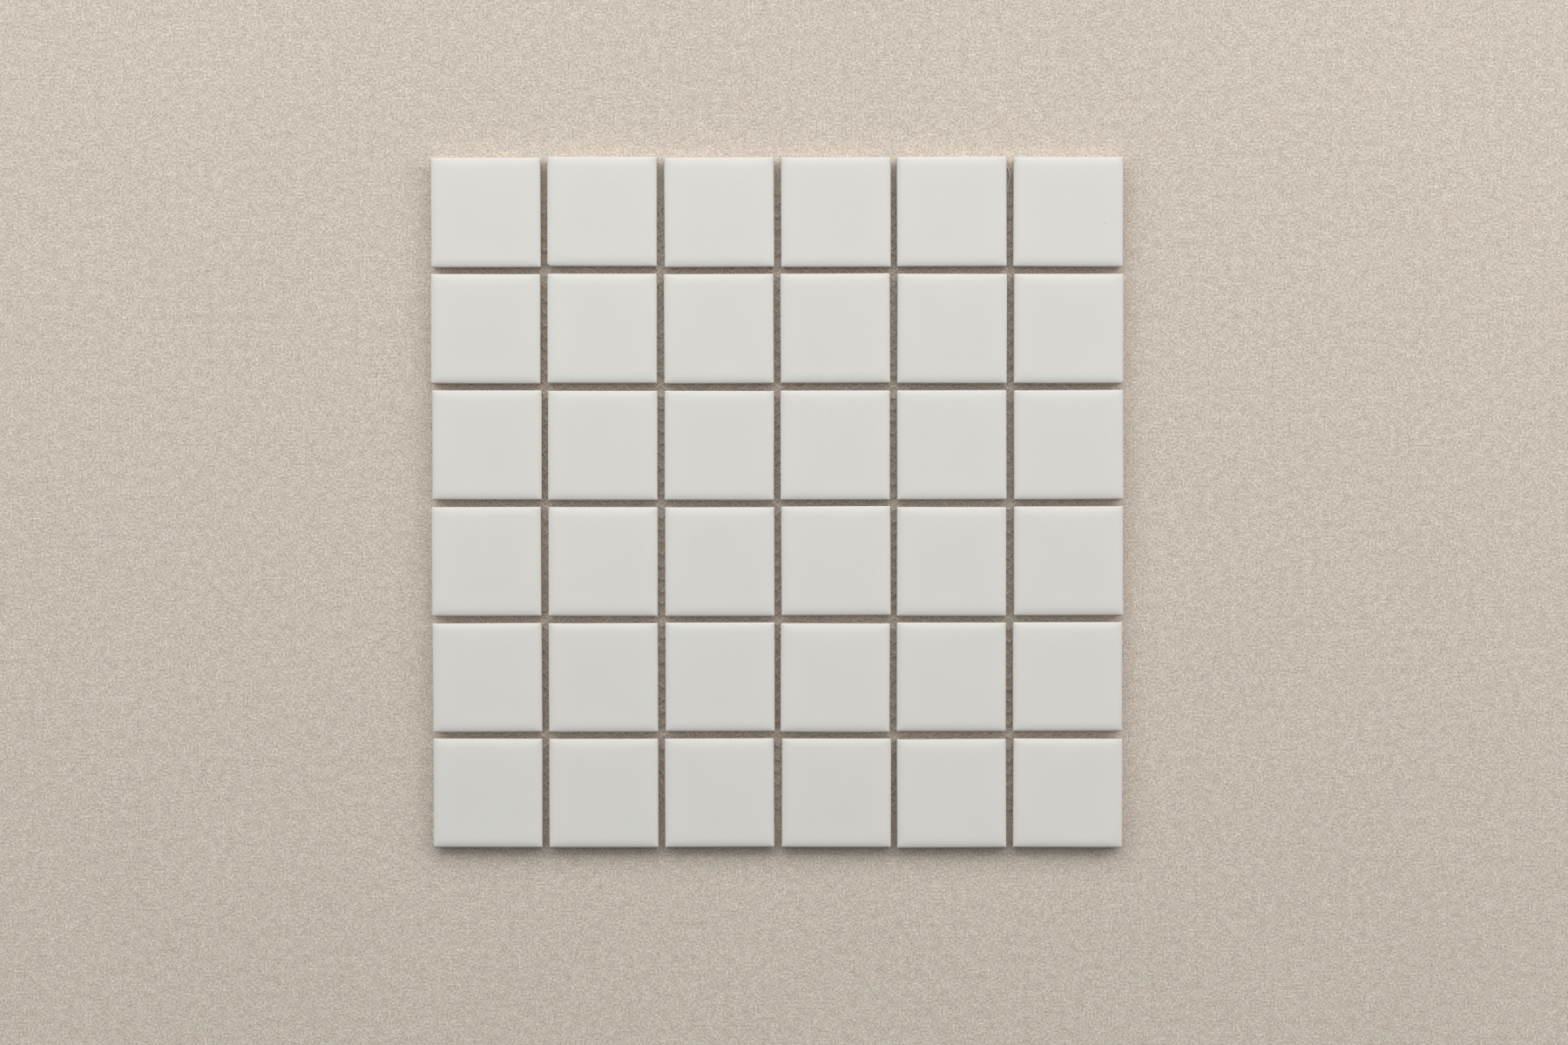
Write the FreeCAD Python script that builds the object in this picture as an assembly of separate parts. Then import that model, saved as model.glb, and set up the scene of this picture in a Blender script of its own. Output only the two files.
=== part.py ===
import FreeCAD, Part
import math
import os
import random

# Mosaic tile sheet: square porcelain tiles with a rolled face edge and a grooved back,
# laid in a grid and held at an even joint by one thin net glued across their backs.
#
# Millimetres. The origin is under the middle of the sheet, on the plane that the net
# lies on. +X runs along a row of tiles, +Y up a column, and +Z out of the glazed faces.

# The grid of tiles
COLUMNS = 6
ROWS = 6
JOINT_WIDTH = 3.0

# One tile: its width is taken at the top of its sides, which lean in to the back
TILE_WIDTH = 48.0
TILE_THICKNESS = 5.7
SIDE_DRAFT = 0.35
CORNER_CUT = 0.6

# The rolled edge of the glazed face: how far in it starts and how far it falls in all,
# and the width of the arris that takes its end down into the side
ROLL_WIDTH = 4.0
ROLL_DROP = 1.0
ARRIS_WIDTH = 0.35

# The keying grooves pressed into the back
GROOVE_COUNT = 4
GROOVE_WIDTH = 5.0
GROOVE_DEPTH = 0.5

# How unevenly the tiles are laid on the net
LAYING_SHIFT = 0.25
LAYING_TURN_DEG = 0.22
LAYING_SEED = 48

# The net: how far its cut edges stop short of the sheet's, and its cells and thread
NET_THICKNESS = 0.3
NET_MARGIN_LEFT = 14.5
NET_MARGIN_RIGHT = 16.0
NET_MARGIN_BOTTOM = 14.0
NET_MARGIN_TOP = 14.5
CELL_LENGTH = 8.2
CELL_HEIGHT = 5.4
THREAD_WIDTH = 0.6

# The glue fills the net's cells behind each tile, up to this far from the tile's edge
GLUE_SETBACK = 0.5

CENTRE = FreeCAD.Vector(0, 0, 0)
UP = FreeCAD.Vector(0, 0, 1)
TILE_PITCH = TILE_WIDTH + JOINT_WIDTH
SHEET_LENGTH = COLUMNS * TILE_PITCH - JOINT_WIDTH
SHEET_DEPTH = ROWS * TILE_PITCH - JOINT_WIDTH
BACK_WIDTH = TILE_WIDTH - 2 * SIDE_DRAFT
OPEN_WIDTH = JOINT_WIDTH + 2 * GLUE_SETBACK


def pressed_section():
    """The tile's section across its width: leaning sides, arrises and the rolled face."""
    half = TILE_WIDTH / 2
    roll_radius = (ROLL_WIDTH**2 + ROLL_DROP**2) / (2 * ROLL_DROP)
    roll_centre = FreeCAD.Vector(half - ROLL_WIDTH, 0, TILE_THICKNESS - roll_radius)

    def on_roll(angle):
        return roll_centre + FreeCAD.Vector(math.cos(angle), 0, math.sin(angle)) * roll_radius

    end_angle = math.acos((ROLL_WIDTH - ARRIS_WIDTH) / roll_radius)
    roll_top = on_roll(math.pi / 2)
    roll_middle = on_roll((math.pi / 2 + end_angle) / 2)
    roll_end = on_roll(end_angle)
    side_top = FreeCAD.Vector(half, 0, roll_end.z - ARRIS_WIDTH)
    side_bottom = FreeCAD.Vector(half - SIDE_DRAFT, 0, 0)

    def mirrored(point):
        return FreeCAD.Vector(-point.x, 0, point.z)

    edges = [
        Part.LineSegment(mirrored(side_bottom), side_bottom).toShape(),
        Part.LineSegment(side_bottom, side_top).toShape(),
        Part.LineSegment(side_top, roll_end).toShape(),
        Part.Arc(roll_end, roll_middle, roll_top).toShape(),
        Part.LineSegment(roll_top, mirrored(roll_top)).toShape(),
        Part.Arc(mirrored(roll_top), mirrored(roll_middle), mirrored(roll_end)).toShape(),
        Part.LineSegment(mirrored(roll_end), mirrored(side_top)).toShape(),
        Part.LineSegment(mirrored(side_top), mirrored(side_bottom)).toShape(),
    ]
    return Part.Face(Part.Wire(edges))


def pressed_blank():
    """The section run through in both directions, so that its edges meet in mitres."""
    section = pressed_section()
    section.translate(FreeCAD.Vector(0, -TILE_WIDTH, 0))
    along_y = section.extrude(FreeCAD.Vector(0, 2 * TILE_WIDTH, 0))
    along_x = along_y.copy()
    along_x.rotate(CENTRE, UP, 90)
    return along_y.common(along_x).Solids[0]


def is_corner(edge):
    """Whether an edge is one of the four that lean in from the arris to the back."""
    box = edge.BoundBox
    rises = box.ZMin < GROOVE_DEPTH and box.ZLength > GROOVE_DEPTH
    return rises and len(edge.Vertexes) == 2


def keying_grooves():
    """Straight grooves right across the back, evenly spread over its width."""
    land = (BACK_WIDTH - GROOVE_COUNT * GROOVE_WIDTH) / (GROOVE_COUNT + 1)
    grooves = []
    for index in range(GROOVE_COUNT):
        left = -BACK_WIDTH / 2 + land + index * (land + GROOVE_WIDTH)
        corner = FreeCAD.Vector(left, -TILE_WIDTH, -GROOVE_DEPTH)
        grooves.append(Part.makeBox(GROOVE_WIDTH, 2 * TILE_WIDTH, 2 * GROOVE_DEPTH, corner))
    return grooves


def make_tile():
    """One tile, its back on z = 0 and its middle on the Z axis."""
    blank = pressed_blank()
    corners = [edge for edge in blank.Edges if is_corner(edge)]
    tile = blank.makeChamfer(CORNER_CUT, corners).cut(keying_grooves())
    return tile.Solids[0]


def laid_places():
    """Where each tile lies: its middle and its turn, keyed by row and column."""
    chance = random.Random(LAYING_SEED)
    places = {}
    for row in range(ROWS):
        for column in range(COLUMNS):
            x = (column - (COLUMNS - 1) / 2) * TILE_PITCH + chance.uniform(-1, 1) * LAYING_SHIFT
            y = ((ROWS - 1) / 2 - row) * TILE_PITCH + chance.uniform(-1, 1) * LAYING_SHIFT
            turn = chance.uniform(-1, 1) * LAYING_TURN_DEG
            places[row + 1, column + 1] = (x, y, turn)
    return places


def lay_tiles():
    """Every tile on top of the net, moved together so that the sheet is centred."""
    pattern = make_tile()
    tiles = {}
    for (row, column), (x, y, turn) in laid_places().items():
        tile = pattern.copy()
        tile.rotate(CENTRE, UP, turn)
        tile.translate(FreeCAD.Vector(x, y, NET_THICKNESS))
        tiles[f"tile_r{row}_c{column}"] = tile
    outline = Part.Compound(list(tiles.values())).BoundBox
    for tile in tiles.values():
        tile.translate(FreeCAD.Vector(-outline.Center.x, -outline.Center.y, 0))
    return tiles


def joint_lines(count):
    """The middle lines of the joints between this many tiles, centred on zero."""
    return [(index - (count - 2) / 2) * TILE_PITCH for index in range(count - 1)]


def open_runs(start, end, cell):
    """The stretches from start to end that are open: one to a cell, cut off at the ends."""
    middle = (start + end) / 2
    reach = math.ceil((end - start) / 2 / cell)
    runs = []
    for index in range(-reach, reach + 1):
        low = max(middle + index * cell - (cell - THREAD_WIDTH) / 2, start)
        high = min(middle + index * cell + (cell - THREAD_WIDTH) / 2, end)
        if high - low > THREAD_WIDTH:
            runs.append((low, high))
    return runs


def rectangle(left, right, low, high):
    """A closed flat wire on z = 0."""
    corners = [(left, low), (right, low), (right, high), (left, high), (left, low)]
    return Part.makePolygon([FreeCAD.Vector(x, y, 0) for x, y in corners])


def make_net():
    """The net and its glue as one thin sheet, open only along the joints."""
    left = -SHEET_LENGTH / 2 + NET_MARGIN_LEFT
    right = SHEET_LENGTH / 2 - NET_MARGIN_RIGHT
    bottom = -SHEET_DEPTH / 2 + NET_MARGIN_BOTTOM
    top = SHEET_DEPTH / 2 - NET_MARGIN_TOP

    openings = []
    columns = joint_lines(COLUMNS)
    for x in columns:
        for low, high in open_runs(bottom + THREAD_WIDTH, top - THREAD_WIDTH, CELL_HEIGHT):
            openings.append(rectangle(x - OPEN_WIDTH / 2, x + OPEN_WIDTH / 2, low, high))

    # Between the openings of the joints that run up the sheet
    sides = [left] + [x + OPEN_WIDTH / 2 for x in columns]
    ends = [x - OPEN_WIDTH / 2 for x in columns] + [right]
    for y in joint_lines(ROWS):
        for side, end in zip(sides, ends):
            for start, stop in open_runs(side + THREAD_WIDTH, end - THREAD_WIDTH, CELL_LENGTH):
                openings.append(rectangle(start, stop, y - OPEN_WIDTH / 2, y + OPEN_WIDTH / 2))

    sheet = Part.Face([rectangle(left, right, bottom, top)] + openings)
    return sheet.extrude(FreeCAD.Vector(0, 0, NET_THICKNESS))


os.makedirs("parts", exist_ok=True)
for name, solid in lay_tiles().items():
    solid.exportStep(f"parts/{name}.step")
make_net().exportStep("parts/backing_net.step")
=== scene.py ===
import math
import random

import bpy
from mathutils import Matrix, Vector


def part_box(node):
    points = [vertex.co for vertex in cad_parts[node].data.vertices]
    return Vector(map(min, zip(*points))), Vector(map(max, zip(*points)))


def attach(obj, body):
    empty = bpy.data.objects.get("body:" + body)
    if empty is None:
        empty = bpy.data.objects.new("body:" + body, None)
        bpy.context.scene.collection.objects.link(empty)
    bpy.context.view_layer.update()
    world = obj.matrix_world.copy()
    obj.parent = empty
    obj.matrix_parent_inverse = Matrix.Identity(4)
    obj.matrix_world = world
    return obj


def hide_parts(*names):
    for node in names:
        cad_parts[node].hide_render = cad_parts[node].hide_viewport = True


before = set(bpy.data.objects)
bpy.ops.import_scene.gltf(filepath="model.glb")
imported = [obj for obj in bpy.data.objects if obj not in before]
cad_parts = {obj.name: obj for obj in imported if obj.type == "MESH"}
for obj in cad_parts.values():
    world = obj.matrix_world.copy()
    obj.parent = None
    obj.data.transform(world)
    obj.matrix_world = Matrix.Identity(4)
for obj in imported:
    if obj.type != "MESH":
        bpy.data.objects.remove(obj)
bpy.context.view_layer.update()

MM = 0.001

# The tiles. Squares of porcelain, pressed dry in a steel die, glazed on the face and fired.
# The face rolls over softly to its edges, the sides lean in a little to the back, and the
# die leaves straight grooves across the back for the glue to key into.
TILE_WIDTH = 48.0 * MM
SIDE_LEAN = 0.35 * MM
CORNER_RADIUS = 0.5 * MM
SOFT_CORNERS = {"tile_r1_c2": 1.9 * MM}
ROLL_WIDTH = 6.6 * MM
ROLL_DROP = 0.71 * MM
ROLL_STEEPNESS = 4.0
ROLL_SPREAD = 0.06
MITRE_SOFTNESS = 1.5
MITRE_WIDEST = 5.0 * MM
ARRIS_RADIUS = 0.4 * MM
BACK_ARRIS = 0.25 * MM
GROOVE_COUNT = 4
GROOVE_WIDTH = 5.0 * MM
GROOVE_DEPTH = 0.5 * MM
GROOVE_LEAN = 0.2 * MM
FACE_POINTS = 33
SIDE_POINTS = 6
POINT_CROWDING = 2.6
TILE_SHARP_DEG = 38
EDGE_EASE = 4.0 * MM
NEXT_TO_NOTHING = 1e-7
FIRING_SEED = 36


def add(tree, kind, *values, **settings):
    """One node, with its settings, and its inputs filled in order: a socket is linked, None left."""
    made = tree.nodes.new(kind)
    for name, setting in settings.items():
        setattr(made, name, setting)
    for socket, value in zip([s for s in made.inputs if s.enabled], values):
        if isinstance(value, bpy.types.NodeSocket):
            tree.links.new(value, socket)
        elif value is not None:
            socket.default_value = value
    return made


def out(made, index=0):
    """One of a node's outputs that are in use."""
    return [s for s in made.outputs if s.enabled][index]


def sums(tree):
    """The arithmetic of one tree, as a function: reckon("ADD", a, b) gives their sum."""
    def reckon(operation, *values):
        return out(add(tree, "ShaderNodeMath", *values, operation=operation))
    return reckon


def new_tree(name, kind, inputs, outputs):
    """An empty tree with named sockets, and those sockets as its nodes see them."""
    tree = bpy.data.node_groups.new(name, kind)
    for label, socket_type in inputs.items():
        tree.interface.new_socket(label, in_out="INPUT", socket_type=socket_type)
    for label, socket_type in outputs.items():
        tree.interface.new_socket(label, in_out="OUTPUT", socket_type=socket_type)
    given = tree.nodes.new("NodeGroupInput").outputs
    result = tree.nodes.new("NodeGroupOutput").inputs
    return tree, given, result


def joined(tree, *parts):
    """A place from its X, Y and Z, each 0 where it isn't given."""
    return out(add(tree, "ShaderNodeCombineXYZ", *parts))


def split(tree, place):
    """The X, Y and Z of a place."""
    return add(tree, "ShaderNodeSeparateXYZ", place).outputs


def point_place(tree):
    """The place of each point of the mesh that a node works on."""
    return out(add(tree, "GeometryNodeInputPosition"))


def choose(tree, test, otherwise, value):
    """A number where a test holds, and another one otherwise."""
    return out(add(tree, "GeometryNodeSwitch", test, otherwise, value, input_type="FLOAT"))


def lumps(tree, place, size, detail, roughness=0.5):
    """Noise in soft lumps of one size, with more or fewer, stronger or weaker, finer ones on them."""
    return add(tree, "ShaderNodeTexNoise", place, sums(tree)("DIVIDE", 1.0, size), detail, roughness)


def marked(tree, shape, name, value):
    """A shape with a number kept at each of its points, under a name."""
    return out(add(tree, "GeometryNodeStoreNamedAttribute", shape, None, name, value,
                   data_type="FLOAT", domain="POINT"))


def shaded_smooth(tree, shape, sharp_deg):
    """A shape shaded smooth, apart from its edges that turn by more than an angle."""
    smooth = add(tree, "GeometryNodeSetShadeSmooth", shape, None, True, domain="FACE")
    turn = out(add(tree, "GeometryNodeInputMeshEdgeAngle"))
    sharp = sums(tree)("GREATER_THAN", turn, math.radians(sharp_deg))
    return out(add(tree, "GeometryNodeSetShadeSmooth", out(smooth), sharp, False, domain="EDGE"))


def put_out(tree, shape, material, result):
    """The end of a tree: its instances made real, and its material set."""
    real = add(tree, "GeometryNodeRealizeInstances", shape)
    dressed = add(tree, "GeometryNodeSetMaterial", out(real), None, material)
    tree.links.new(out(dressed), result)


def die_pressing():
    """The tree that presses one tile, its back on z = 0 and its middle on the Z axis."""
    lengths = ["Width", "Thickness", "Side Lean", "Corner Radius", "Soft Corner Radius", "Roll Width",
               "Roll Drop", "Arris Radius", "Back Arris", "Groove Width", "Groove Depth", "Groove Lean"]
    inputs = dict.fromkeys(lengths + ["Tone"], "NodeSocketFloat")
    inputs.update({"Groove Count": "NodeSocketInt", "Glaze": "NodeSocketMaterial"})
    tree, given, result = new_tree("die_pressing", "GeometryNodeTree", inputs,
                                   {"Tile": "NodeSocketGeometry"})
    reckon = sums(tree)
    cube = add(tree, "GeometryNodeMeshCube", (2, 2, 2), FACE_POINTS, FACE_POINTS, SIDE_POINTS)
    across, along, rise = split(tree, point_place(tree))
    height = reckon("MULTIPLY_ADD", rise, 0.5, 0.5)
    half = reckon("MULTIPLY", given["Width"], 0.5)

    # Rows of points crowd towards the edges, where the face bends most
    def inset(side):
        to_edge = reckon("SUBTRACT", 1.0, reckon("ABSOLUTE", side))
        return reckon("MULTIPLY", half, reckon("POWER", to_edge, POINT_CROWDING))

    inset_x = inset(across)
    inset_y = inset(along)
    nearest = reckon("MINIMUM", inset_x, inset_y)
    mitre = reckon("MINIMUM", reckon("MULTIPLY", nearest, MITRE_SOFTNESS), MITRE_WIDEST)
    edge = reckon("SMOOTH_MIN", inset_x, inset_y, reckon("MAXIMUM", mitre, NEXT_TO_NOTHING))

    def arris(radius):
        left = reckon("MAXIMUM", reckon("SUBTRACT", radius, nearest), 0.0)
        arc = reckon("SQRT", reckon("SUBTRACT", reckon("MULTIPLY", radius, radius),
                                    reckon("MULTIPLY", left, left)))
        return reckon("SUBTRACT", radius, arc)

    # The face: a roll that grows steeper towards the edge, then a round arris
    past_flat = reckon("SUBTRACT", 1.0, reckon("DIVIDE", edge, given["Roll Width"]))
    roll = reckon("POWER", reckon("MAXIMUM", past_flat, 0.0), ROLL_STEEPNESS)
    rolled = reckon("SUBTRACT", given["Thickness"], reckon("MULTIPLY", given["Roll Drop"], roll))
    face = reckon("SUBTRACT", rolled, arris(given["Arris Radius"]))
    back = arris(given["Back Arris"])
    side_top = reckon("SUBTRACT", reckon("SUBTRACT", given["Thickness"], given["Roll Drop"]),
                      given["Arris Radius"])
    side = reckon("MULTIPLY_ADD", reckon("SUBTRACT", side_top, given["Back Arris"]), height,
                  given["Back Arris"])
    margin = 0.001
    on_face = reckon("GREATER_THAN", height, 1 - margin)
    on_back = reckon("LESS_THAN", height, margin)
    level = choose(tree, on_back, choose(tree, on_face, side, face), back)

    # The outline: a square with rounded corners, one of them with a radius of its own
    soft = reckon("MULTIPLY", reckon("LESS_THAN", across, 0.0), reckon("LESS_THAN", along, 0.0))
    radius = choose(tree, soft, given["Corner Radius"], given["Soft Corner Radius"])
    straight = reckon("SUBTRACT", half, radius)

    def past_straight(gap):
        reach = reckon("SUBTRACT", reckon("SUBTRACT", half, gap), straight)
        return reckon("MAXIMUM", reckon("DIVIDE", reach, radius), 0.0)

    past_x = past_straight(inset_x)
    past_y = past_straight(inset_y)
    square = reckon("MAXIMUM", past_x, past_y)
    distance = reckon("SQRT", reckon("ADD", reckon("MULTIPLY", past_x, past_x),
                                     reckon("MULTIPLY", past_y, past_y)))
    pull_in = reckon("DIVIDE", square, reckon("MAXIMUM", distance, NEXT_TO_NOTHING))
    rounding = reckon("MULTIPLY", radius, pull_in)
    lean = reckon("DIVIDE", reckon("MULTIPLY", given["Side Lean"], reckon("SUBTRACT", 1.0, height)), half)

    def outward(side_of, gap, past):
        reach = reckon("MINIMUM", reckon("SUBTRACT", half, gap), straight)
        reach = reckon("MULTIPLY_ADD", rounding, past, reach)
        reach = reckon("MULTIPLY", reach, reckon("SUBTRACT", 1.0, lean))
        return reckon("MULTIPLY", reach, reckon("SIGN", side_of))

    shape = joined(tree, outward(across, inset_x, past_x), outward(along, inset_y, past_y), level)
    blank = add(tree, "GeometryNodeSetPosition", out(cube), None, shape)

    # The grooves: bars of the die, a little narrower at their tops, taken out of the back
    back_width = reckon("SUBTRACT", given["Width"], reckon("MULTIPLY", given["Side Lean"], 2.0))
    grooved = reckon("MULTIPLY", given["Groove Count"], given["Groove Width"])
    land = reckon("DIVIDE", reckon("SUBTRACT", back_width, grooved),
                  reckon("ADD", given["Groove Count"], 1.0))
    step = reckon("ADD", land, given["Groove Width"])
    row_length = reckon("MULTIPLY", step, reckon("SUBTRACT", given["Groove Count"], 1.0))
    first = joined(tree, reckon("MULTIPLY", row_length, -0.5))
    row = add(tree, "GeometryNodeMeshLine", given["Groove Count"], first, joined(tree, step), mode="OFFSET")
    bar_size = joined(tree, given["Groove Width"], reckon("MULTIPLY", given["Width"], 2.0),
                      reckon("MULTIPLY", given["Groove Depth"], 2.0))
    bar = add(tree, "GeometryNodeMeshCube", bar_size, 2, 2, 2)
    bar_x, _, bar_z = split(tree, point_place(tree))
    at_top = reckon("MULTIPLY", reckon("SIGN", bar_x), reckon("GREATER_THAN", bar_z, 0.0))
    narrower = reckon("MULTIPLY", at_top, reckon("MULTIPLY", given["Groove Lean"], -1.0))
    bar = add(tree, "GeometryNodeSetPosition", out(bar), None, None, joined(tree, narrower))
    bars = add(tree, "GeometryNodeInstanceOnPoints", out(row), None, out(bar))
    bars = add(tree, "GeometryNodeRealizeInstances", out(bars))
    pressed = add(tree, "GeometryNodeMeshBoolean", out(blank), out(bars), operation="DIFFERENCE")

    # What the glaze goes by: this tile's tone, and how far in each point lies
    toned = marked(tree, out(pressed), "firing_tone", given["Tone"])
    x, y, _ = split(tree, point_place(tree))
    gaps = [reckon("SUBTRACT", half, reckon("ABSOLUTE", place)) for place in (x, y)]
    measured = marked(tree, toned, "from_edge", reckon("SMOOTH_MIN", *gaps, EDGE_EASE))
    put_out(tree, shaded_smooth(tree, measured, TILE_SHARP_DEG), given["Glaze"], result["Tile"])
    return tree


def grown(name, tree, sizes, start=None):
    """A plain mesh piece from a tree and its named sizes, and from the mesh it starts with if it has one."""
    piece = bpy.data.objects.new(name, start or bpy.data.meshes.new(name))
    bpy.context.scene.collection.objects.link(piece)
    modifier = piece.modifiers.new(tree.name, "NODES")
    modifier.node_group = tree
    for socket in tree.interface.items_tree:
        if socket.in_out == "INPUT" and socket.name in sizes:
            modifier[socket.identifier] = sizes[socket.name]
    ready = piece.evaluated_get(bpy.context.evaluated_depsgraph_get())
    mesh = bpy.data.meshes.new_from_object(ready)
    piece.modifiers.remove(modifier)
    piece.data = mesh
    mesh.name = name
    return piece


def scaled(tree, color, amount):
    """A colour made lighter or darker by a number."""
    return out(add(tree, "ShaderNodeVectorMath", color, amount, operation="SCALE"))


def uneven_tone():
    """A shader group: a colour made lighter and darker in soft patches of a given size."""
    tree, given, result = new_tree(
        "uneven_tone", "ShaderNodeTree",
        {"Place": "NodeSocketVector", "Color": "NodeSocketColor", "Patch": "NodeSocketFloat",
         "Amount": "NodeSocketFloat"},
        {"Color": "NodeSocketColor"})
    reckon = sums(tree)
    patches = out(lumps(tree, given["Place"], given["Patch"], detail=3.0, roughness=0.55))
    swing = reckon("MULTIPLY", reckon("SUBTRACT", patches, 0.5), reckon("MULTIPLY", given["Amount"], 2.0))
    tree.links.new(scaled(tree, given["Color"], reckon("ADD", swing, 1.0)), result["Color"])
    return tree


def fine_grain():
    """A shader group: the height of a surface's grain, from lumps of one size with finer ones on them."""
    tree, given, result = new_tree(
        "fine_grain", "ShaderNodeTree",
        {"Place": "NodeSocketVector", "Grain": "NodeSocketFloat", "Depth": "NodeSocketFloat"},
        {"Height": "NodeSocketFloat"})
    grains = out(lumps(tree, given["Place"], given["Grain"], detail=4.0, roughness=0.6))
    tree.links.new(sums(tree)("MULTIPLY", grains, given["Depth"]), result["Height"])
    return tree


def use_group(tree, group, **values):
    """One shader group placed in a material, its inputs set or linked by name."""
    placed = add(tree, "ShaderNodeGroup", node_tree=group)
    for name, value in values.items():
        if isinstance(value, bpy.types.NodeSocket):
            tree.links.new(value, placed.inputs[name])
        else:
            placed.inputs[name].default_value = value
    return out(placed)


def new_material(name):
    """A material: its tree, its shader, its arithmetic and its Object coordinates."""
    material = bpy.data.materials.new(name)
    material.use_nodes = True
    tree = material.node_tree
    place = add(tree, "ShaderNodeTexCoord").outputs["Object"]
    return material, tree, tree.nodes["Principled BSDF"], sums(tree), place


def mark(tree, name):
    """The number that a shape keeps at its points under a name."""
    return add(tree, "ShaderNodeAttribute", attribute_name=name).outputs["Fac"]


def mixed(tree, mask, first, second, kind="RGBA"):
    """Two colours or numbers mixed by a mask."""
    return out(add(tree, "ShaderNodeMix", mask, first, second, data_type=kind))


def ramp(tree, value, start, end):
    """A mask that runs softly from 0 at start to 1 at end."""
    return out(add(tree, "ShaderNodeMapRange", value, start, end, 0.0, 1.0, interpolation_type="SMOOTHSTEP"))


def raise_surface(tree, shader, height):
    """Bump from a height in metres."""
    bump = add(tree, "ShaderNodeBump")
    bump.inputs["Distance"].default_value = 1.0
    tree.links.new(height, bump.inputs["Height"])
    tree.links.new(out(bump), shader.inputs["Normal"])


UNEVEN_TONE = uneven_tone()
FINE_GRAIN = fine_grain()

# The colours of the body and the glaze. Each pair of distances is where an effect begins and
# where it is full, from the tile's edge, from a speck's middle or from the top of the side.
BODY_COLOR = (0.54, 0.475, 0.425, 1)
BODY_ROUGHNESS = 0.86
GLAZE_COLOR = (0.765, 0.757, 0.720, 1)
GLAZE_ROUGHNESS = 0.70
GLAZE_PATCHY = 0.06
ROUGH_PATCH = 3.0 * MM
TONE_SPREAD = 0.006
# Painted shade: the glaze darker all round within about 1.5 mm of the tile's edge
EDGE_SHADE_REACH = (1.5 * MM, 0.2 * MM)
EDGE_SHADE_TONE = -0.045
# Painted sheen: the glaze a little lighter in a band a few millimetres in from the edge
SHEEN_BAND_OUTSIDE = (1.2 * MM, 3.2 * MM)
SHEEN_BAND_INSIDE = (13.0 * MM, 5.0 * MM)
SHEEN_BAND_TONE = 0.0145
# Tan where the glaze thins over the arris and the body shows; the same tint reaches up onto the rolled face
# as painted shade that dims the edge's highlight
THIN_GLAZE_AND_SHADE_ABOVE = (0.62 * MM, 0.15 * MM)
THIN_GLAZE_AND_SHADE_COLOR = (0.62, 0.53, 0.42, 1)
THIN_GLAZE_AND_SHADE_STRENGTH = 0.7
STOPS_BELOW = (0.75 * MM, 0.60 * MM)
STOP_WAVER = 0.5 * MM
WAVER_PATCH = 2.5 * MM
SPECK_SPACING = 6.0 * MM
SPECK_SHARE = 0.07
SPECK_FADE = (0.21 * MM, 0.09 * MM)
SPECK_COLOR = (0.30, 0.27, 0.22, 1)
SPECK_STRENGTH = 0.5
IRON_PLACE = (143.5 * MM, 122.5 * MM)
IRON_FADE = (0.55 * MM, 0.25 * MM)
IRON_COLOR = (0.64, 0.46, 0.28, 1)
IRON_STRENGTH = 0.6


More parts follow.
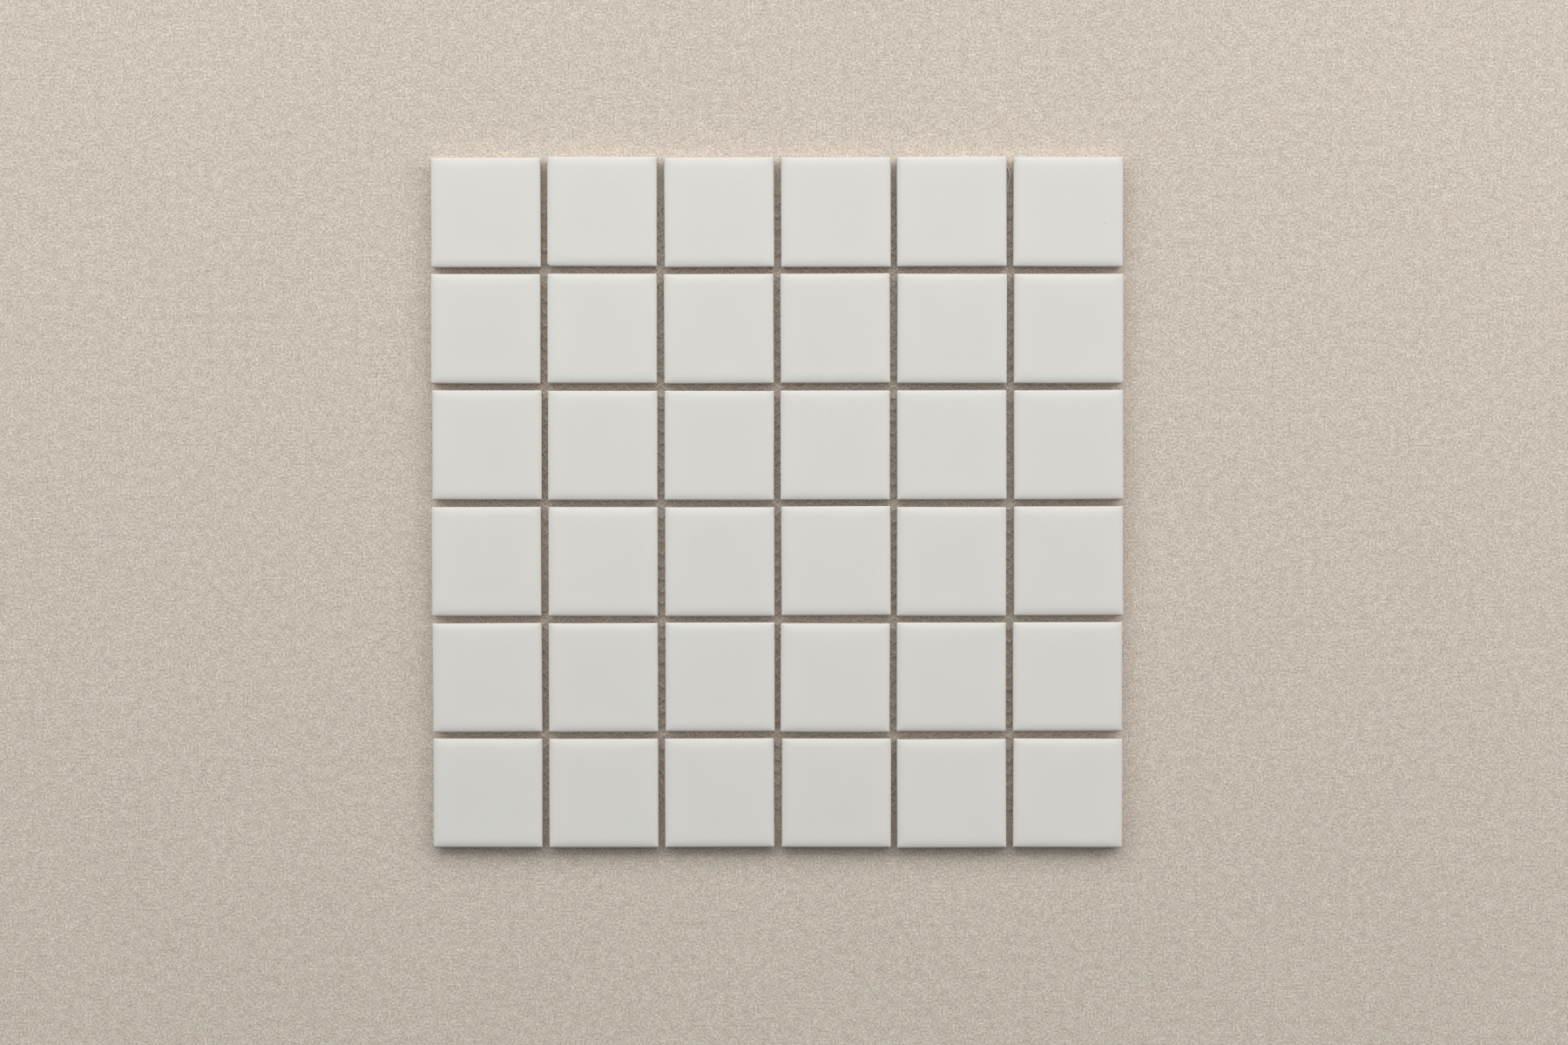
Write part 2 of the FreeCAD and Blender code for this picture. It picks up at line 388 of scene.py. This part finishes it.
def glazed_porcelain(side_top):
    """Satin white glaze on an off-white body: the glaze runs just over the arris and stops unevenly."""
    material, tree, shader, reckon, place = new_material("glazed_porcelain")
    body = use_group(tree, UNEVEN_TONE, Place=place, Color=BODY_COLOR, Patch=9 * MM, Amount=0.10)
    glaze = use_group(tree, UNEVEN_TONE, Place=place, Color=GLAZE_COLOR, Patch=22 * MM, Amount=0.02)

    # Painted shade darkens the glaze near the tile's edge, and a painted sheen makes it a little lighter in
    # a band inside the edge
    from_edge = mark(tree, "from_edge")
    edge_shade = ramp(tree, from_edge, *EDGE_SHADE_REACH)
    sheen_band = reckon("MULTIPLY", ramp(tree, from_edge, *SHEEN_BAND_OUTSIDE), ramp(tree, from_edge, *SHEEN_BAND_INSIDE))
    tone = reckon("MULTIPLY_ADD", sheen_band, SHEEN_BAND_TONE, mark(tree, "firing_tone"))
    tone = reckon("MULTIPLY_ADD", edge_shade, EDGE_SHADE_TONE, tone)
    glaze = scaled(tree, glaze, reckon("ADD", tone, 1.0))

    # Specks of the body's minerals, a few to a tile, that show faintly through the glaze
    cells = add(tree, "ShaderNodeTexVoronoi", place, 1 / SPECK_SPACING, voronoi_dimensions="2D")
    chance = out(add(tree, "ShaderNodeSeparateColor", out(cells, 1)))
    rare = reckon("GREATER_THAN", chance, 1 - SPECK_SHARE)
    round_middle = ramp(tree, out(cells), *[radius / SPECK_SPACING for radius in SPECK_FADE])
    speck = reckon("MULTIPLY", reckon("MULTIPLY", rare, round_middle), SPECK_STRENGTH)
    glaze = mixed(tree, speck, glaze, SPECK_COLOR)

    # A grain of iron that burnt brown in the glaze of one tile
    grain = (*IRON_PLACE, side_top + ARRIS_RADIUS + ROLL_DROP)
    from_grain = out(add(tree, "ShaderNodeVectorMath", place, grain, operation="DISTANCE"))
    iron = reckon("MULTIPLY", ramp(tree, from_grain, *IRON_FADE), IRON_STRENGTH)
    glaze = mixed(tree, iron, glaze, IRON_COLOR)

    # Where the glaze thins over the arris, with painted shade reaching up onto the roll to dim the edge's
    # highlight, and where it stops on the side
    _, _, rise = split(tree, place)
    thin_glaze_and_shade = ramp(tree, rise, *[side_top + above for above in THIN_GLAZE_AND_SHADE_ABOVE])
    glaze = mixed(tree, reckon("MULTIPLY", thin_glaze_and_shade, THIN_GLAZE_AND_SHADE_STRENGTH), glaze, THIN_GLAZE_AND_SHADE_COLOR)
    waver = reckon("SUBTRACT", out(lumps(tree, place, WAVER_PATCH, detail=2.0)), 0.5)
    wavy = reckon("MULTIPLY_ADD", waver, STOP_WAVER, rise)
    glazed = ramp(tree, wavy, *[side_top - below for below in STOPS_BELOW])
    tree.links.new(mixed(tree, glazed, body, glaze), shader.inputs["Base Color"])

    patchy = out(lumps(tree, place, ROUGH_PATCH, detail=3.0))
    satin = reckon("MULTIPLY_ADD", patchy, GLAZE_PATCHY, GLAZE_ROUGHNESS)
    tree.links.new(mixed(tree, glazed, BODY_ROUGHNESS, satin, kind="FLOAT"), shader.inputs["Roughness"])
    shader.inputs["Specular IOR Level"].default_value = 0.2

    # Orange peel in the glaze, pressed powder in the body
    peel = use_group(tree, FINE_GRAIN, Place=place, Grain=0.8 * MM, Depth=0.014 * MM)
    powder = use_group(tree, FINE_GRAIN, Place=place, Grain=0.5 * MM, Depth=0.05 * MM)
    raise_surface(tree, shader, mixed(tree, glazed, powder, peel, kind="FLOAT"))
    return material


def laid_place(node):
    """Where a CAD tile lies: its middle, the level of its back, and its turn, from its flat top."""
    low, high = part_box(node)
    middle = (low + high) / 2
    flat_level = high.z - 0.01 * MM
    flat = [v.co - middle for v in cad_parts[node].data.vertices if v.co.z > flat_level]
    turns = [math.atan2(corner.y, corner.x) % (math.pi / 2) - math.pi / 4 for corner in flat]
    return middle.x, middle.y, low.z, sum(turns) / len(turns)


tile_nodes = sorted(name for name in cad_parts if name.startswith("tile_"))
tile_low, tile_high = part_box(tile_nodes[0])
pressing = die_pressing()
glaze_material = glazed_porcelain(tile_high.z - ROLL_DROP - ARRIS_RADIUS)
firing = random.Random(FIRING_SEED)
tile_places = {}
for node in tile_nodes:
    roll = 1 + firing.uniform(-1, 1) * ROLL_SPREAD
    tile = grown("glazed_" + node, pressing, {
        "Width": TILE_WIDTH,
        "Thickness": tile_high.z - tile_low.z,
        "Side Lean": SIDE_LEAN,
        "Corner Radius": CORNER_RADIUS,
        "Soft Corner Radius": SOFT_CORNERS.get(node, CORNER_RADIUS),
        "Roll Width": ROLL_WIDTH * roll,
        "Roll Drop": ROLL_DROP * roll,
        "Arris Radius": ARRIS_RADIUS,
        "Back Arris": BACK_ARRIS,
        "Groove Count": GROOVE_COUNT,
        "Groove Width": GROOVE_WIDTH,
        "Groove Depth": GROOVE_DEPTH,
        "Groove Lean": GROOVE_LEAN,
        "Tone": firing.uniform(-1, 1) * TONE_SPREAD,
        "Glaze": glaze_material,
    })
    x, y, back_level, turn = tile_places[node] = laid_place(node)
    tile.data.transform(Matrix.Translation((x, y, back_level)) @ Matrix.Rotation(turn, 4, "Z"))
    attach(tile, "root")
    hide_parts(node)

# The net. Thin white yarn, knitted into an open mesh of long cells: pairs of yarns meet in
# short links and swing apart between them. The tiles press it flat, in the joints it stands
# up a little, and it was laid slightly askew and cut off inside the sheet's edges.
YARN_RADIUS = 0.15 * MM
LOOSE_RADIUS = 0.30 * MM
YARN_SIDES = 4
YARN_SPACING = 2.69 * MM
CELL_LENGTH = 8.2 * MM
CELL_POINTS = 12
SWING = 1.1 * MM
SWING_UNEVEN = 0.5 * MM
CREST_FLATNESS = 1.3
NET_TURN_DEG = 0.8
DRIFT = 7.0 * MM
DRIFT_PATCH = 60 * MM
KINK = 0.5 * MM
KINK_PATCH = 5 * MM
CUT_UNEVEN = 4.0 * MM
JOINT_PITCH = 51.0 * MM
JOINT_HALF = 1.8 * MM
JOINT_MIDDLE = 0.4 * MM
JOINT_LIFT = 1.3 * MM
YARN_COLOR = (0.97, 0.95, 0.92, 1)
YARN_ROUGHNESS = 0.3
YARN_TWIST = 0.9 * MM
YARN_PLIES = 2
PLY_SHADE = 0.12


def knitted_net():
    """The tree that knits part of the net, flat on z = 0, from one yarn number up to another."""
    lengths = ["Length", "Yarn Spacing", "First Yarn Place", "Cell Length", "Swing", "Swing Uneven",
               "Drift", "Drift Patch", "Kink", "Kink Patch", "Yarn Radius", "Loose Radius", "Joint Pitch",
               "Joint Half", "Joint Lift", "Left", "Right", "Cut Uneven"]
    inputs = dict.fromkeys(lengths + ["Turn"], "NodeSocketFloat")
    inputs.update({"First Yarn": "NodeSocketInt", "Yarns": "NodeSocketInt", "Yarn": "NodeSocketMaterial"})
    tree, given, result = new_tree("knitted_net", "GeometryNodeTree", inputs,
                                   {"Net": "NodeSocketGeometry"})
    reckon = sums(tree)

    # One row of points for each yarn, a metre apart until they are laid, and joined along X only
    cells = reckon("DIVIDE", given["Length"], given["Cell Length"])
    points = reckon("CEIL", reckon("MULTIPLY", cells, float(CELL_POINTS)))
    gaps = reckon("SUBTRACT", given["Yarns"], 1.0)
    grid = add(tree, "GeometryNodeMeshGrid", given["Length"], gaps, points, given["Yarns"])
    ends = add(tree, "GeometryNodeInputMeshEdgeVertices")
    _, start_y, _ = split(tree, out(ends, 2))
    _, end_y, _ = split(tree, out(ends, 3))
    crosses = reckon("GREATER_THAN", reckon("ABSOLUTE", reckon("SUBTRACT", start_y, end_y)), 0.5)
    rows = add(tree, "GeometryNodeDeleteGeometry", out(grid), crosses, domain="EDGE", mode="EDGE_FACE")

    # The yarn's number and its side of the link it makes with the next
    x, row_y, _ = split(tree, point_place(tree))
    row = reckon("ROUND", reckon("MULTIPLY_ADD", gaps, 0.5, row_y))
    number = reckon("ADD", row, given["First Yarn"])
    side = reckon("SUBTRACT", reckon("MULTIPLY", reckon("FLOORED_MODULO", number, 2.0), 2.0), 1.0)
    y = reckon("MULTIPLY_ADD", number, given["Yarn Spacing"], given["First Yarn Place"])
    spot = joined(tree, x, y)

    # Cut across the yarns at both sides, none of them at quite the same length
    random_ends = out(add(tree, "ShaderNodeTexWhiteNoise", number, noise_dimensions="1D"), 1)
    strays = [reckon("MULTIPLY", reckon("SUBTRACT", part, 0.5), given["Cut Uneven"])
              for part in split(tree, random_ends)[:2]]
    off = reckon("MAXIMUM", reckon("LESS_THAN", x, reckon("ADD", given["Left"], strays[0])),
                 reckon("GREATER_THAN", x, reckon("ADD", given["Right"], strays[1])))
    trimmed = add(tree, "GeometryNodeDeleteGeometry", out(rows), off, domain="POINT")

    # A wave with flat crests, so that the yarns run side by side along each link
    angle = reckon("MULTIPLY", reckon("DIVIDE", x, given["Cell Length"]), 2 * math.pi)
    crest = reckon("DIVIDE", reckon("TANH", reckon("MULTIPLY", reckon("SINE", angle), CREST_FLATNESS)),
                   math.tanh(CREST_FLATNESS))
    looseness = out(lumps(tree, spot, given["Kink Patch"], detail=1.0))
    swing = reckon("MULTIPLY_ADD", reckon("SUBTRACT", looseness, 0.5), given["Swing Uneven"], given["Swing"])
    wave = reckon("MULTIPLY", reckon("MULTIPLY", crest, swing), side)

    def shove(size, patch):
        parts = split(tree, out(lumps(tree, spot, patch, detail=2.0), 1))
        return [reckon("MULTIPLY", reckon("SUBTRACT", part, 0.5), size) for part in parts[:2]]

    drift_x, drift_y = shove(given["Drift"], given["Drift Patch"])
    kink_x, kink_y = shove(given["Kink"], given["Kink Patch"])
    flat_x = reckon("ADD", reckon("ADD", x, drift_x), kink_x)
    flat_y = reckon("ADD", reckon("ADD", reckon("ADD", y, wave), drift_y), kink_y)
    turned = add(tree, "ShaderNodeVectorRotate", joined(tree, flat_x, flat_y), None, given["Turn"],
                 rotation_type="Z_AXIS")
    laid_x, laid_y, _ = split(tree, out(turned))

    # The net rises in the joints, where no tile presses on it
    def in_joint(value):
        reach = reckon("MULTIPLY", given["Joint Pitch"], 0.5)
        away = reckon("ABSOLUTE", reckon("WRAP", value, reach, reckon("MULTIPLY", reach, -1.0)))
        return ramp(tree, away, given["Joint Half"], JOINT_MIDDLE)

    open_above = reckon("MAXIMUM", in_joint(laid_x), in_joint(laid_y))
    lift = reckon("MULTIPLY", given["Joint Lift"], looseness)
    looser = reckon("SUBTRACT", reckon("DIVIDE", given["Loose Radius"], given["Yarn Radius"]), 1.0)
    fullness = reckon("MULTIPLY_ADD", open_above, looser, 1.0)
    over = reckon("MAXIMUM", reckon("MULTIPLY", side, given["Yarn Radius"]), 0.0)
    laid_z = reckon("MULTIPLY_ADD", open_above, reckon("ADD", over, lift),
                    reckon("MULTIPLY", fullness, given["Yarn Radius"]))
    full = marked(tree, out(trimmed), "yarn_fullness", fullness)
    knitted = add(tree, "GeometryNodeSetPosition", full, None, joined(tree, laid_x, laid_y, laid_z))

    yarns = add(tree, "GeometryNodeMeshToCurve", out(knitted))
    fullness = out(add(tree, "GeometryNodeInputNamedAttribute", "yarn_fullness", data_type="FLOAT"))
    yarns = add(tree, "GeometryNodeSetCurveRadius", out(yarns), None, fullness)
    length_along = out(add(tree, "GeometryNodeSplineParameter"), 1)
    yarns = marked(tree, out(yarns), "yarn_run", length_along)
    section = add(tree, "GeometryNodeCurvePrimitiveCircle", YARN_SIDES, given["Yarn Radius"])
    share_round = out(add(tree, "GeometryNodeSplineParameter"))
    section = marked(tree, out(section), "yarn_turn", share_round)
    tubes = add(tree, "GeometryNodeCurveToMesh", yarns, section, None, True)
    smooth = add(tree, "GeometryNodeSetShadeSmooth", out(tubes), None, True, domain="FACE")
    put_out(tree, out(smooth), given["Yarn"], result["Net"])
    return tree


def net_yarn():
    """Bright white yarn of twisted filaments."""
    material, tree, shader, reckon, place = new_material("net_yarn")
    tone = use_group(tree, UNEVEN_TONE, Place=place, Color=YARN_COLOR, Patch=4 * MM, Amount=0.12)
    # Painted shade: the yarn darker along the grooves between its twisted plies
    run = reckon("DIVIDE", mark(tree, "yarn_run"), YARN_TWIST)
    turns = reckon("ADD", run, reckon("MULTIPLY", mark(tree, "yarn_turn"), float(YARN_PLIES)))
    ply = reckon("MULTIPLY_ADD", reckon("SINE", reckon("MULTIPLY", turns, 2 * math.pi)), 0.5, 0.5)
    shade = reckon("MULTIPLY_ADD", ply, PLY_SHADE, 1 - PLY_SHADE / 2)
    tree.links.new(scaled(tree, tone, shade), shader.inputs["Base Color"])
    rough = use_group(tree, FINE_GRAIN, Place=place, Grain=0.3 * MM, Depth=0.2)
    tree.links.new(reckon("ADD", rough, YARN_ROUGHNESS), shader.inputs["Roughness"])
    shader.inputs["Specular IOR Level"].default_value = 0.9
    fibres = use_group(tree, FINE_GRAIN, Place=place, Grain=0.15 * MM, Depth=0.02 * MM)
    raise_surface(tree, shader, reckon("MULTIPLY_ADD", ply, 0.03 * MM, fibres))
    return material


net_low, net_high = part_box("backing_net")
net_middle = (net_low + net_high) / 2
yarn_count = math.floor((net_high.y - net_low.y) / YARN_SPACING)
half_count = yarn_count // 2
knitting = knitted_net()
yarn_material = net_yarn()
for half, first, count in (("lower", 0, half_count), ("upper", half_count, yarn_count - half_count)):
    net = grown("net_" + half, knitting, {
        "Length": net_high.x - net_low.x + CUT_UNEVEN,
        "Yarn Spacing": YARN_SPACING,
        "First Yarn Place": net_middle.y - (yarn_count - 1) / 2 * YARN_SPACING,
        "Cell Length": CELL_LENGTH,
        "Swing": SWING,
        "Swing Uneven": SWING_UNEVEN,
        "Turn": math.radians(NET_TURN_DEG),
        "Drift": DRIFT,
        "Drift Patch": DRIFT_PATCH,
        "Kink": KINK,
        "Kink Patch": KINK_PATCH,
        "Yarn Radius": YARN_RADIUS,
        "Loose Radius": LOOSE_RADIUS,
        "Joint Pitch": JOINT_PITCH,
        "Joint Half": JOINT_HALF,
        "Joint Lift": JOINT_LIFT,
        "Left": net_low.x,
        "Right": net_high.x,
        "Cut Uneven": CUT_UNEVEN,
        "First Yarn": first,
        "Yarns": count,
        "Yarn": yarn_material,
    })
    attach(net, "root")
    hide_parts("backing_net")

# The tail of one yarn, which wasn't cut off with the rest. It curls up beyond the net's edge in
# the last joint between columns. Its points are in millimetres from the middle of that joint,
# the net's edge and the floor.
TAIL_JOINT = 2 * JOINT_PITCH
TAIL = [(-0.9, -0.5, 0.5), (-0.7, 2.5, 0.6), (0.1, 4.8, 0.8), (0.4, 7.0, 1.0), (-0.2, 9.4, 0.9),
        (-1.1, 10.9, 0.6)]

tail_curve = bpy.data.curves.new("net_tail", "CURVE")
tail_curve.dimensions = "3D"
tail_curve.bevel_depth = LOOSE_RADIUS
tail_curve.bevel_resolution = 2
tail_curve.use_fill_caps = True
tail_run = tail_curve.splines.new("NURBS")
tail_run.points.add(len(TAIL) - 1)
tail_run.use_endpoint_u = True
tail_run.resolution_u = 8
for point, (x, y, z) in zip(tail_run.points, TAIL):
    point.co = (TAIL_JOINT + x * MM, net_high.y + y * MM, z * MM, 1)
tail_shape = bpy.data.objects.new("net_tail_shape", tail_curve)
bpy.context.scene.collection.objects.link(tail_shape)
ready = tail_shape.evaluated_get(bpy.context.evaluated_depsgraph_get())
tail = bpy.data.objects.new("net_tail", bpy.data.meshes.new_from_object(ready))
bpy.context.scene.collection.objects.link(tail)
bpy.data.objects.remove(tail_shape)
tail.data.materials.clear()
tail.data.materials.append(yarn_material)
tail.data.shade_smooth()
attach(tail, "root")
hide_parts("backing_net")

# The glue. Milky glue, rolled onto the backs over the net and dried to a thin uneven film on
# each tile. It stops short of the joints.
FILM_RADIUS = 21.5 * MM
FILM_BOTTOM = 0.13 * MM
FILM_SQUARENESS = 0.8
FILM_RAGGED = 3.0 * MM
RAGGED_PATCH = 9 * MM
RAGGED_MIDDLE = 0.6
RIPPLE = 0.10 * MM
RIPPLE_PATCH = 4 * MM
FILM_POINTS = 48
FILM_RINGS = 7
FILM_SHARP_DEG = 45
GLUE_COLOR = (0.70, 0.66, 0.57, 1)
GLUE_ROUGHNESS = 0.42
ROLLER_STREAKS = (1.0, 0.15, 1.0)


def glue_film():
    """The tree that spreads a film of glue round each point of the mesh it is given."""
    lengths = ["Radius", "Top", "Bottom", "Ragged"]
    inputs = {"Tiles": "NodeSocketGeometry"}
    inputs.update(dict.fromkeys(lengths, "NodeSocketFloat"))
    inputs.update({"Glue": "NodeSocketMaterial"})
    tree, given, result = new_tree("glue_film", "GeometryNodeTree", inputs, {"Film": "NodeSocketGeometry"})
    reckon = sums(tree)
    disc = add(tree, "GeometryNodeMeshCylinder", FILM_POINTS, 1, FILM_RINGS, 1.0, 2.0)
    discs = add(tree, "GeometryNodeInstanceOnPoints", given["Tiles"], None, out(disc))
    middles = add(tree, "GeometryNodeStoreNamedAttribute", out(discs), None, "film_middle",
                  point_place(tree), data_type="FLOAT_VECTOR", domain="INSTANCE")
    real = add(tree, "GeometryNodeRealizeInstances", out(middles))
    middle = out(add(tree, "GeometryNodeInputNamedAttribute", "film_middle", data_type="FLOAT_VECTOR"))
    from_middle = add(tree, "ShaderNodeVectorMath", point_place(tree), middle, operation="SUBTRACT")
    dx, dy, dz = split(tree, out(from_middle))
    middle_x, middle_y, _ = split(tree, middle)

    # A disc drawn out to a soft square, its edge ragged where the roller left it
    def spread_to(reach):
        x = reckon("MULTIPLY_ADD", dx, reach, middle_x)
        y = reckon("MULTIPLY_ADD", dy, reach, middle_y)
        return x, y

    along = reckon("MAXIMUM", reckon("ABSOLUTE", dx), reckon("ABSOLUTE", dy))
    away = reckon("SQRT", reckon("ADD", reckon("MULTIPLY", dx, dx), reckon("MULTIPLY", dy, dy)))
    corner = reckon("DIVIDE", away, reckon("MAXIMUM", along, NEXT_TO_NOTHING))
    squared = reckon("MULTIPLY", given["Radius"], reckon("POWER", corner, FILM_SQUARENESS))
    ragged = out(lumps(tree, joined(tree, *spread_to(given["Radius"])), RAGGED_PATCH, detail=4.0))
    reach = reckon("MULTIPLY_ADD", reckon("SUBTRACT", ragged, RAGGED_MIDDLE),
                   reckon("MULTIPLY", given["Ragged"], 2.0), squared)
    x, y = spread_to(reach)

    # Flat on the backs, rippled below
    ripple = out(lumps(tree, joined(tree, x, y), RIPPLE_PATCH, detail=2.0))
    under = reckon("MULTIPLY_ADD", reckon("SUBTRACT", ripple, 0.5), RIPPLE, given["Bottom"])
    level = choose(tree, reckon("GREATER_THAN", dz, 0.0), under, given["Top"])
    film = add(tree, "GeometryNodeSetPosition", out(real), None, joined(tree, x, y, level))
    put_out(tree, shaded_smooth(tree, out(film), FILM_SHARP_DEG), given["Glue"], result["Film"])
    return tree


def dried_glue():
    """Milky glue, dried satin, with the streaks of the roller in it."""
    material, tree, shader, reckon, place = new_material("dried_glue")
    tone = use_group(tree, UNEVEN_TONE, Place=place, Color=GLUE_COLOR, Patch=6 * MM, Amount=0.15)
    tree.links.new(tone, shader.inputs["Base Color"])
    rough = use_group(tree, FINE_GRAIN, Place=place, Grain=2 * MM, Depth=0.25)
    tree.links.new(reckon("ADD", rough, GLUE_ROUGHNESS), shader.inputs["Roughness"])
    streaks = add(tree, "ShaderNodeMapping", place, None, None, ROLLER_STREAKS)
    height = use_group(tree, FINE_GRAIN, Place=out(streaks), Grain=0.8 * MM, Depth=0.03 * MM)
    raise_surface(tree, shader, height)
    return material


film_middles = bpy.data.meshes.new("film_middles")
film_middles.from_pydata([(x, y, 0) for x, y, _, _ in tile_places.values()], [], [])
film = grown("glue_film", glue_film(), {
    "Radius": FILM_RADIUS,
    "Top": tile_low.z,
    "Bottom": FILM_BOTTOM,
    "Ragged": FILM_RAGGED,
    "Glue": dried_glue(),
}, start=film_middles)
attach(film, "root")
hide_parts("backing_net")

# The floor that the sheet lies on. Pale matt stone, fine-grained, greyer and browner in soft
# patches. It is one flat square, far wider than the view.
FLOOR_HALF = 6.0
FLOOR_COLOR = (0.668, 0.606, 0.530, 1)
FLOOR_BROWNER = (0.646, 0.568, 0.478, 1)
FLOOR_PATCH = 3.5 * MM
FLOOR_GRAIN = 0.85 * MM


def pale_floor():
    """Stone: grains of just under a millimetre, in clumps, with faint wide patches."""
    material, tree, shader, reckon, place = new_material("pale_floor")
    patches = out(lumps(tree, place, FLOOR_PATCH, detail=3.0))
    stone = mixed(tree, ramp(tree, patches, 0.3, 0.7), FLOOR_COLOR, FLOOR_BROWNER)
    tone = use_group(tree, UNEVEN_TONE, Place=place, Color=stone, Patch=60 * MM, Amount=0.03)
    clumps = use_group(tree, UNEVEN_TONE, Place=place, Color=tone, Patch=4 * MM, Amount=0.2)
    grains = use_group(tree, UNEVEN_TONE, Place=place, Color=clumps, Patch=FLOOR_GRAIN, Amount=0.85)
    tree.links.new(grains, shader.inputs["Base Color"])
    shader.inputs["Roughness"].default_value = 0.75
    height = use_group(tree, FINE_GRAIN, Place=place, Grain=FLOOR_GRAIN, Depth=0.06 * MM)
    raise_surface(tree, shader, height)
    return material


floor_mesh = bpy.data.meshes.new("floor")
floor_corners = [(x * FLOOR_HALF, y * FLOOR_HALF, 0) for x, y in ((-1, -1), (1, -1), (1, 1), (-1, 1))]
floor_mesh.from_pydata(floor_corners, [], [(0, 1, 2, 3)])
floor = bpy.data.objects.new("floor", floor_mesh)
bpy.context.scene.collection.objects.link(floor)
floor_mesh.materials.append(pale_floor())

# The light. A long soft panel stands beyond the top of the sheet, and a dimmer one reaches in
# over it from the first one's top. One more hangs at each side, the right one a little lower,
# and the room adds a trace from all round.
PANEL_LENGTH = 6.0
PANEL_RIGHT = 0.4
PANEL_AWAY = 1.3
PANEL_TOP = 2.08
PANEL_FOOT = 0.45
STANDING_LIGHT = 2.61
OVERHEAD_REACH = 1.4
OVERHEAD_LIGHT = 0.585
SIDE_LENGTH = 1.6
SIDE_DEPTH = 1.2
SIDE_AWAY = 1.5
SIDE_BACK = 0.3
SIDE_FOOT = {-1: 0.5, 1: 0.3}
SIDE_LIGHT = 1.41
ROUND_LIGHT = 0.01


def soft_panel(name, length, depth, light, place, turn):
    """A rectangular lamp, whose light is what a white surface facing it close by would show."""
    lamp = bpy.data.objects.new(name, bpy.data.lights.new(name, "AREA"))
    bpy.context.scene.collection.objects.link(lamp)
    lamp.data.shape = "RECTANGLE"
    lamp.data.size = length
    lamp.data.size_y = depth
    lamp.data.energy = light * math.pi * length * depth
    lamp.matrix_world = Matrix.Translation(place) @ turn
    lamp.visible_camera = False


facing_down = Matrix.Identity(4)
facing_back = Matrix.Rotation(-math.pi / 2, 4, "X")
soft_panel("standing_panel", PANEL_LENGTH, PANEL_TOP - PANEL_FOOT, STANDING_LIGHT,
           (PANEL_RIGHT, PANEL_AWAY, (PANEL_TOP + PANEL_FOOT) / 2), facing_back)
soft_panel("overhead_panel", PANEL_LENGTH, OVERHEAD_REACH, OVERHEAD_LIGHT,
           (PANEL_RIGHT, PANEL_AWAY - OVERHEAD_REACH / 2, PANEL_TOP), facing_down)
for side, foot in SIDE_FOOT.items():
    facing_in = Matrix.Rotation(-side * math.pi / 2, 4, "Z") @ facing_back
    soft_panel("side_panel", SIDE_LENGTH, SIDE_DEPTH, SIDE_LIGHT,
               (side * SIDE_AWAY, SIDE_BACK, foot + SIDE_DEPTH / 2), facing_in)

world = bpy.data.worlds.new("studio")
bpy.context.scene.world = world
world.use_nodes = True
background = world.node_tree.nodes["Background"]
background.inputs["Color"].default_value = (1.0, 1.0, 1.0, 1)
background.inputs["Strength"].default_value = ROUND_LIGHT

# The camera. It hangs just under a metre above the sheet and looks down on it, within about a
# degree of straight.
CAMERA_PLACE = (0.0029, 0.0109, 0.9601)
CAMERA_TILT_DEG = (-1.159, 0.0, -0.066)
CAMERA_LENS_MM = 50
CAMERA_SENSOR_MM = 36

camera = bpy.data.objects.new("camera", bpy.data.cameras.new("camera"))
bpy.context.scene.collection.objects.link(camera)
camera.data.lens = CAMERA_LENS_MM
camera.data.sensor_width = CAMERA_SENSOR_MM
camera.location = CAMERA_PLACE
camera.rotation_euler = [math.radians(angle) for angle in CAMERA_TILT_DEG]
bpy.context.scene.camera = camera
bpy.context.scene.view_settings.view_transform = "Standard"
